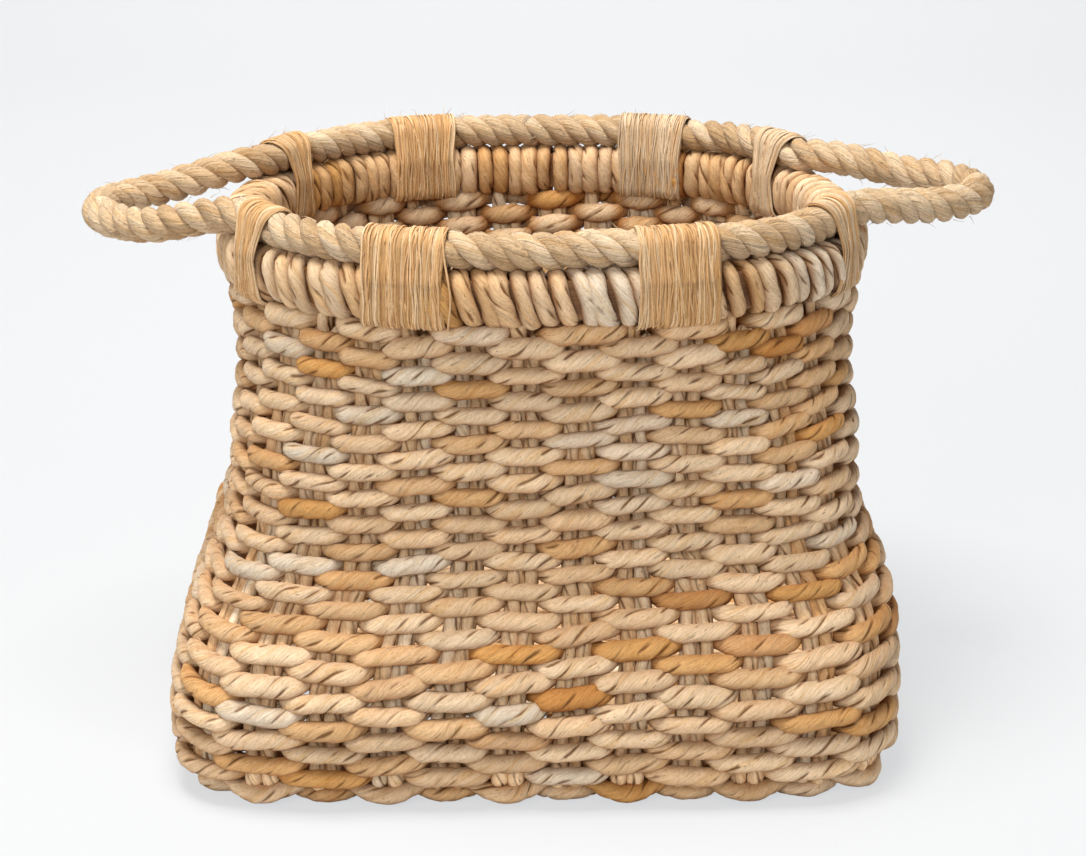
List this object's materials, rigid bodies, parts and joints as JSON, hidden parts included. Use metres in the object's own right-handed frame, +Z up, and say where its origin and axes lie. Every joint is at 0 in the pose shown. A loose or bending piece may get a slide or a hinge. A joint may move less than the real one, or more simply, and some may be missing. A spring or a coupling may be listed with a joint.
{
  "type": "laundry basket woven",
  "caption": "Woven laundry basket of twisted bark cord with a flared rounded-rectangular foot, an oval wrapped rim, and one laid rope lashed to its long sides that forms two loop handles.",
  "frame": {"origin": "centre of the bounding box's underside, on the floor", "axes": "+X along the long side towards the right-hand handle, +Y towards the back, +Z up out of the mouth"},
  "size_m": [0.6268, 0.4392, 0.3756],
  "materials": {
    "bark_cord": "matt twisted plant fibre",
    "rattan_hoop": "raw split cane",
    "laid_rope": "matt three-strand rope with loose hairs",
    "lashing_fibre": "slightly lustrous fine fibre"
  },
  "bodies": {
    "root": {"front_back_strands": "bark_cord", "side_to_side_strands": "bark_cord", "corner_stakes": "bark_cord", "base_mat_cords": "bark_cord", "foot_course_lower": "bark_cord", "foot_course_upper": "bark_cord", "wall_course_01": "bark_cord", "wall_course_02": "bark_cord", "wall_course_03": "bark_cord", "wall_course_04": "bark_cord", "wall_course_05": "bark_cord", "wall_course_06": "bark_cord", "wall_course_07": "bark_cord", "wall_course_08": "bark_cord", "wall_course_09": "bark_cord", "wall_course_10": "bark_cord", "wall_course_11": "bark_cord", "wall_course_12": "bark_cord", "wall_course_13": "bark_cord", "wall_course_14": "bark_cord", "wall_course_15": "bark_cord", "wall_course_16": "bark_cord", "wall_course_17": "bark_cord", "wall_course_18": "bark_cord", "wall_course_19": "bark_cord", "wall_course_20": "bark_cord", "wall_course_21": "bark_cord", "wall_course_22": "bark_cord", "wall_course_23": "bark_cord", "wall_course_24": "bark_cord", "wall_course_25": "bark_cord", "wall_course_26": "bark_cord", "wall_course_27": "bark_cord", "wall_course_28": "bark_cord", "wall_course_29": "bark_cord", "wall_course_30": "bark_cord", "wall_course_31": "bark_cord", "wall_course_32": "bark_cord", "wall_course_33": "bark_cord", "outer_rim_hoop": "rattan_hoop", "inner_rim_hoop": "rattan_hoop", "rim_wrap": "bark_cord", "mouth_and_handle_rope": "laid_rope", "front_left_lashing": "lashing_fibre", "front_right_lashing": "lashing_fibre", "rear_left_lashing": "lashing_fibre", "rear_right_lashing": "lashing_fibre", "left_handle_front_lashing": "lashing_fibre", "left_handle_rear_lashing": "lashing_fibre", "right_handle_front_lashing": "lashing_fibre", "right_handle_rear_lashing": "lashing_fibre"}
  },
  "joints": []
}
